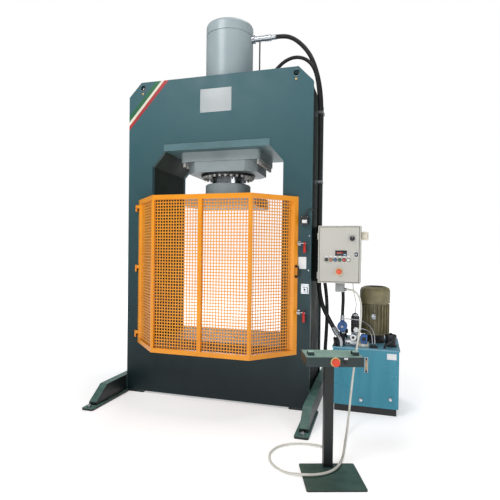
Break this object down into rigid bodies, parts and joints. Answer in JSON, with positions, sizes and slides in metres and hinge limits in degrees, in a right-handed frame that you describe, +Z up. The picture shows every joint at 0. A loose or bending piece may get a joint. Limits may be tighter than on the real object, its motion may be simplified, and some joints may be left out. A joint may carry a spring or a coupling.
{
  "type": "hydraulic press",
  "caption": "Portal-frame hydraulic press with a top cylinder and ram, folded mesh guards, control cabinet, motor-driven oil power unit and a two-hand console.",
  "frame": {"origin": "on the floor at the centre of the four anchor holes, which is under the ram's axis", "axes": "+X to the operator's right, towards the control cabinet; +Y from the operator to the back; +Z up along the ram's axis"},
  "size_m": [2.929, 2.8918, 4.023],
  "materials": {
    "frame_paint": "semi-gloss grey-green paint",
    "foot_paint": "semi-gloss green-grey paint",
    "cylinder_paint": "light blue-grey gloss paint",
    "ram_chrome": "polished hard chrome",
    "dark_steel": "dark phosphated steel",
    "bright_steel": "zinc-plated steel",
    "guard_paint": "orange-yellow powder coat",
    "black_plastic": "moulded black plastic",
    "red_plastic": "moulded red plastic",
    "blue_plastic": "moulded blue plastic",
    "green_plastic": "moulded green plastic",
    "lamp_lens": "translucent lens plastic",
    "cabinet_paint": "light warm-grey powder coat",
    "grey_plastic": "moulded grey plastic",
    "tank_paint": "blue gloss paint",
    "lid_paint": "light blue paint",
    "motor_paint": "olive-grey motor paint",
    "cast_black": "dark cast iron",
    "valve_block": "beige-grey painted blocks",
    "valve_blue": "blue enamel",
    "console_paint": "dark green-grey paint",
    "hose_rubber": "wrapped black rubber",
    "conduit_grey": "light grey plastic conduit"
  },
  "bodies": {
    "press": {"front_plate": "frame_paint", "rear_plate": "frame_paint", "column_webs": "frame_paint", "crosshead_plates": "frame_paint", "bed_plates": "frame_paint", "feet": "foot_paint", "cylinder_barrel": "cylinder_paint", "cylinder_flange": "cylinder_paint", "cylinder_head": "cylinder_paint", "gland_ring": "dark_steel", "cylinder_bolts": "bright_steel", "guard_hinges": "guard_paint", "guard_catches": "bright_steel", "guard_switch": "black_plastic", "cabinet_shell": "cabinet_paint", "socket_box": "grey_plastic", "junction_box": "grey_plastic", "oil_tank": "tank_paint", "tank_lid": "lid_paint", "level_gauge": "bright_steel", "bellhousing": "cast_black", "motor_body": "motor_paint", "motor_cowl": "motor_paint", "pump": "cast_black", "valve_manifold": "valve_block", "solenoid_valves": "valve_blue", "round_valve": "valve_blue", "pressure_gauge": "bright_steel", "console_stand": "console_paint", "console_box": "console_paint", "hose_fittings": "bright_steel", "main_hose": "hose_rubber", "return_hose": "hose_rubber", "pilot_hose": "hose_rubber", "console_conduit": "conduit_grey", "valve_cable": "conduit_grey"},
    "ram": {"ram_rod": "ram_chrome", "ram_flange": "cylinder_paint", "platen": "cylinder_paint"},
    "front_guard": {"guard_frame": "guard_paint", "guard_mesh": "guard_paint", "guard_handle": "black_plastic"},
    "upper_latch": {"upper_latch": "red_plastic"},
    "lower_latch": {"lower_latch": "red_plastic"},
    "cabinet_door": {"cabinet_door": "cabinet_paint", "signal_lamps": "lamp_lens"},
    "door_lock": {"door_lock": "bright_steel"},
    "main_switch": {"main_switch": "black_plastic"},
    "selector_switch": {"selector_switch": "black_plastic"},
    "reset_button": {"reset_button": "blue_plastic"},
    "start_button": {"start_button": "green_plastic"},
    "stop_button": {"stop_button": "red_plastic"},
    "cabinet_stop": {"cabinet_stop": "red_plastic"},
    "motor_rotor": {"motor_rotor": "dark_steel"},
    "left_palm_button": {"left_palm_button": "black_plastic"},
    "right_palm_button": {"right_palm_button": "black_plastic"},
    "console_stop": {"console_stop": "red_plastic"},
    "console_selector": {"console_selector": "black_plastic"}
  },
  "joints": [
    {"name": "ram_slide", "type": "slide", "parent": "press", "child": "ram", "axis": [0, 0, -1], "range_m": [0, 0.6]},
    {"name": "guard_hinge", "type": "hinge", "parent": "press", "child": "front_guard", "pos_m": [-0.889, -0.442, 0.5], "axis": [0, 0, -1], "range_deg": [0, 105]},
    {"name": "upper_latch_lift", "type": "hinge", "parent": "press", "child": "upper_latch", "pos_m": [0.943, -0.458, 1.627], "axis": [-1, 0, 0], "range_deg": [0, 100]},
    {"name": "lower_latch_lift", "type": "hinge", "parent": "press", "child": "lower_latch", "pos_m": [0.943, -0.458, 0.959], "axis": [-1, 0, 0], "range_deg": [0, 100]},
    {"name": "door_hinge", "type": "hinge", "parent": "press", "child": "cabinet_door", "pos_m": [1.062, -0.405, 1.5], "axis": [0, 0, -1], "range_deg": [0, 110]},
    {"name": "lock_turn", "type": "hinge", "parent": "cabinet_door", "child": "door_lock", "pos_m": [1.424, -0.42, 1.526], "axis": [0, 1, 0], "range_deg": [0, 90]},
    {"name": "main_switch_turn", "type": "hinge", "parent": "cabinet_door", "child": "main_switch", "pos_m": [1.387, -0.43, 1.676], "axis": [0, 1, 0], "range_deg": [0, 90]},
    {"name": "selector_turn", "type": "hinge", "parent": "cabinet_door", "child": "selector_switch", "pos_m": [1.147, -0.43, 1.474], "axis": [0, 1, 0], "range_deg": [-45, 45]},
    {"name": "reset_button_press", "type": "slide", "parent": "cabinet_door", "child": "reset_button", "axis": [0, 1, 0], "range_m": [0, 0.004], "stiffness_N_per_m": 400},
    {"name": "start_button_press", "type": "slide", "parent": "cabinet_door", "child": "start_button", "axis": [0, 1, 0], "range_m": [0, 0.004], "stiffness_N_per_m": 400},
    {"name": "stop_button_press", "type": "slide", "parent": "cabinet_door", "child": "stop_button", "axis": [0, 1, 0], "range_m": [0, 0.004], "stiffness_N_per_m": 400},
    {"name": "cabinet_stop_press", "type": "slide", "parent": "cabinet_door", "child": "cabinet_stop", "axis": [0, 1, 0], "range_m": [0, 0.005], "stiffness_N_per_m": 800},
    {"name": "rotor_spin", "type": "hinge", "parent": "press", "child": "motor_rotor", "pos_m": [1.595, 0.1, 0.8], "axis": [0, 0, 1], "continuous": true},
    {"name": "left_palm_button_press", "type": "slide", "parent": "press", "child": "left_palm_button", "axis": [0, 0, -1], "range_m": [0, 0.006], "stiffness_N_per_m": 900},
    {"name": "right_palm_button_press", "type": "slide", "parent": "press", "child": "right_palm_button", "axis": [0, 0, -1], "range_m": [0, 0.006], "stiffness_N_per_m": 900},
    {"name": "console_stop_press", "type": "slide", "parent": "press", "child": "console_stop", "axis": [-0.309, 0.9511, 0], "range_m": [0, 0.005], "stiffness_N_per_m": 800},
    {"name": "console_selector_turn", "type": "hinge", "parent": "press", "child": "console_selector", "pos_m": [1.41824, -1.54577, 0.7885], "axis": [-0.309, 0.9511, 0], "range_deg": [-45, 45]}
  ]
}
